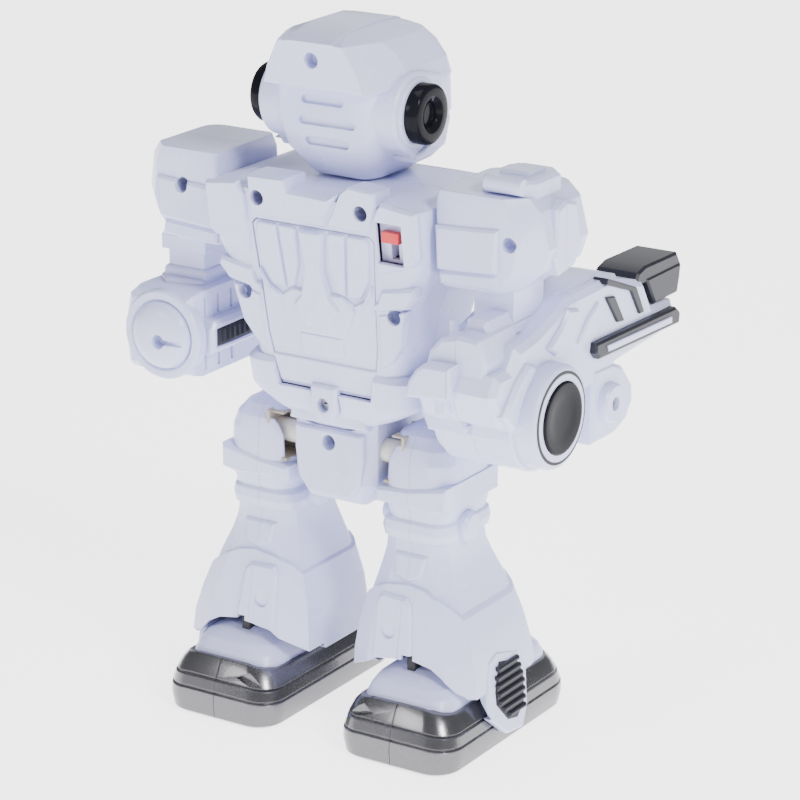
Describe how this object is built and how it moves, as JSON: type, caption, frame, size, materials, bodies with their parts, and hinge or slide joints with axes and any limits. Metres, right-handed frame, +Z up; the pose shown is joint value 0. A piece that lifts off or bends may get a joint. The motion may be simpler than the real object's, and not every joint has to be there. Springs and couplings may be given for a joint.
{
  "type": "toy robot",
  "caption": "Free-standing walking toy robot in white plastic: swinging arms, one a blaster, turning head, hinged battery door, slide switch and jointed flared legs on dark shoes.",
  "frame": {"origin": "on the floor under the middle of the whole object's box, between the shoes", "axes": "+Z up, -Y the way the robot faces, +X to the robot's left"},
  "size_m": [0.1735, 0.136, 0.26],
  "materials": {
    "white_shell": "satin moulded white",
    "gunmetal_shoe": "metallic dark grey",
    "black_gloss": "high gloss black",
    "dark_plastic": "semi-gloss dark grey",
    "black_matte": "matte black",
    "teal_lens": "clear teal",
    "screw_steel": "zinc plated",
    "red_knob": "red",
    "board_green": "printed circuit board",
    "cell_wrap": "plain wrapped cell",
    "contact_plate": "nickel plated",
    "motor_can": "plated can",
    "natural_plastic": "natural unpainted plastic",
    "roller_rubber": "soft grip"
  },
  "bodies": {
    "torso": {"torso_rear_shell": "white_shell", "torso_front_shell": "white_shell", "chest_lens": "teal_lens", "battery_tray": "white_shell", "battery_cells": "cell_wrap", "battery_contacts": "contact_plate", "body_screws": "screw_steel", "power_switch_body": "black_matte", "circuit_board": "board_green", "speaker": "black_matte", "pelvis_rear_shell": "white_shell", "pelvis_front_shell": "white_shell", "drive_motor": "motor_can"},
    "battery_door": {"battery_door": "white_shell", "door_screw": "screw_steel"},
    "power_switch": {"power_switch_knob": "red_knob"},
    "drive_shaft": {"drive_gear": "natural_plastic"},
    "motor_spindle": {"drive_pinion": "natural_plastic"},
    "head": {"head_rear_shell": "white_shell", "head_front_shell": "white_shell", "face_visor": "black_gloss", "left_ear_cap": "black_gloss", "right_ear_cap": "black_gloss", "eye_light_board": "board_green", "head_screw": "screw_steel", "neck_post": "natural_plastic"},
    "left_arm": {"left_shoulder_rear_shell": "white_shell", "left_shoulder_front_shell": "white_shell", "left_shoulder_shaft": "natural_plastic", "left_upper_arm": "white_shell", "left_forearm_rear_shell": "white_shell", "left_forearm_front_shell": "white_shell", "left_forearm_cap": "white_shell", "left_forearm_strip": "dark_plastic", "left_hand": "dark_plastic", "left_arm_screws": "screw_steel"},
    "right_arm": {"right_shoulder_rear_shell": "white_shell", "right_shoulder_front_shell": "white_shell", "right_shoulder_shaft": "natural_plastic", "right_upper_arm": "white_shell", "gun_inner_shell": "white_shell", "gun_outer_shell": "white_shell", "gun_drum_cap": "black_gloss", "gun_muzzle": "dark_plastic", "gun_side_rail": "dark_plastic", "right_arm_screws": "screw_steel"},
    "left_leg": {"left_leg_inner_shell": "white_shell", "left_leg_outer_shell": "white_shell", "left_vent_insert": "dark_plastic", "left_hip_shaft": "natural_plastic"},
    "left_foot": {"left_foot": "white_shell", "left_shoe": "gunmetal_shoe"},
    "left_roller": {"left_roller": "roller_rubber"},
    "right_leg": {"right_leg_inner_shell": "white_shell", "right_leg_outer_shell": "white_shell", "right_vent_insert": "dark_plastic", "right_hip_shaft": "natural_plastic"},
    "right_foot": {"right_foot": "white_shell", "right_shoe": "gunmetal_shoe"},
    "right_roller": {"right_roller": "roller_rubber"}
  },
  "joints": [
    {"name": "head_turn", "type": "hinge", "parent": "torso", "child": "head", "pos_m": [0, 0.023, 0.2035], "axis": [0, 0, 1], "range_deg": [-40, 40]},
    {"name": "left_shoulder_swing", "type": "hinge", "parent": "torso", "child": "left_arm", "pos_m": [0.045, 0.028, 0.192], "axis": [-1, 0, 0], "range_deg": [-30, 90]},
    {"name": "right_shoulder_swing", "type": "hinge", "parent": "torso", "child": "right_arm", "pos_m": [-0.045, 0.028, 0.192], "axis": [-1, 0, 0], "range_deg": [-30, 90]},
    {"name": "left_hip_swing", "type": "hinge", "parent": "torso", "child": "left_leg", "pos_m": [0.03, 0.0346, 0.106], "axis": [-1, 0, 0], "range_deg": [-4, 4]},
    {"name": "right_hip_swing", "type": "hinge", "parent": "torso", "child": "right_leg", "pos_m": [-0.03, 0.0346, 0.106], "axis": [-1, 0, 0], "range_deg": [-4, 4]},
    {"name": "left_ankle_tilt", "type": "hinge", "parent": "left_leg", "child": "left_foot", "pos_m": [0.0322, 0.028, 0.04], "axis": [-1, 0, 0], "range_deg": [-4, 4]},
    {"name": "right_ankle_tilt", "type": "hinge", "parent": "right_leg", "child": "right_foot", "pos_m": [-0.0322, 0.028, 0.04], "axis": [-1, 0, 0], "range_deg": [-4, 4]},
    {"name": "left_roller_spin", "type": "hinge", "parent": "left_foot", "child": "left_roller", "pos_m": [0.037, -0.004, 0.0048], "axis": [1, 0, 0], "continuous": true},
    {"name": "right_roller_spin", "type": "hinge", "parent": "right_foot", "child": "right_roller", "pos_m": [-0.037, -0.004, 0.0048], "axis": [1, 0, 0], "continuous": true},
    {"name": "battery_door_swing", "type": "hinge", "parent": "torso", "child": "battery_door", "pos_m": [0, 0.05484, 0.189], "axis": [1, 0, 0], "range_deg": [0, 100]},
    {"name": "power_switch_slide", "type": "slide", "parent": "torso", "child": "power_switch", "axis": [0, 0, -1], "range_m": [0, 0.0044]},
    {"name": "drive_gear_spin", "type": "hinge", "parent": "torso", "child": "drive_shaft", "pos_m": [0, 0.018, 0.1206], "axis": [1, 0, 0], "continuous": true},
    {"name": "drive_pinion_spin", "type": "hinge", "parent": "torso", "child": "motor_spindle", "pos_m": [0, 0.018, 0.13445], "axis": [1, 0, 0], "continuous": true}
  ],
  "couplings": [
    {"joint": "right_hip_swing", "follows": "left_hip_swing", "ratio": -1},
    {"joint": "left_ankle_tilt", "follows": "left_hip_swing", "ratio": -1},
    {"joint": "right_ankle_tilt", "follows": "left_hip_swing", "ratio": 1},
    {"joint": "drive_pinion_spin", "follows": "drive_gear_spin", "ratio": -2.75}
  ]
}
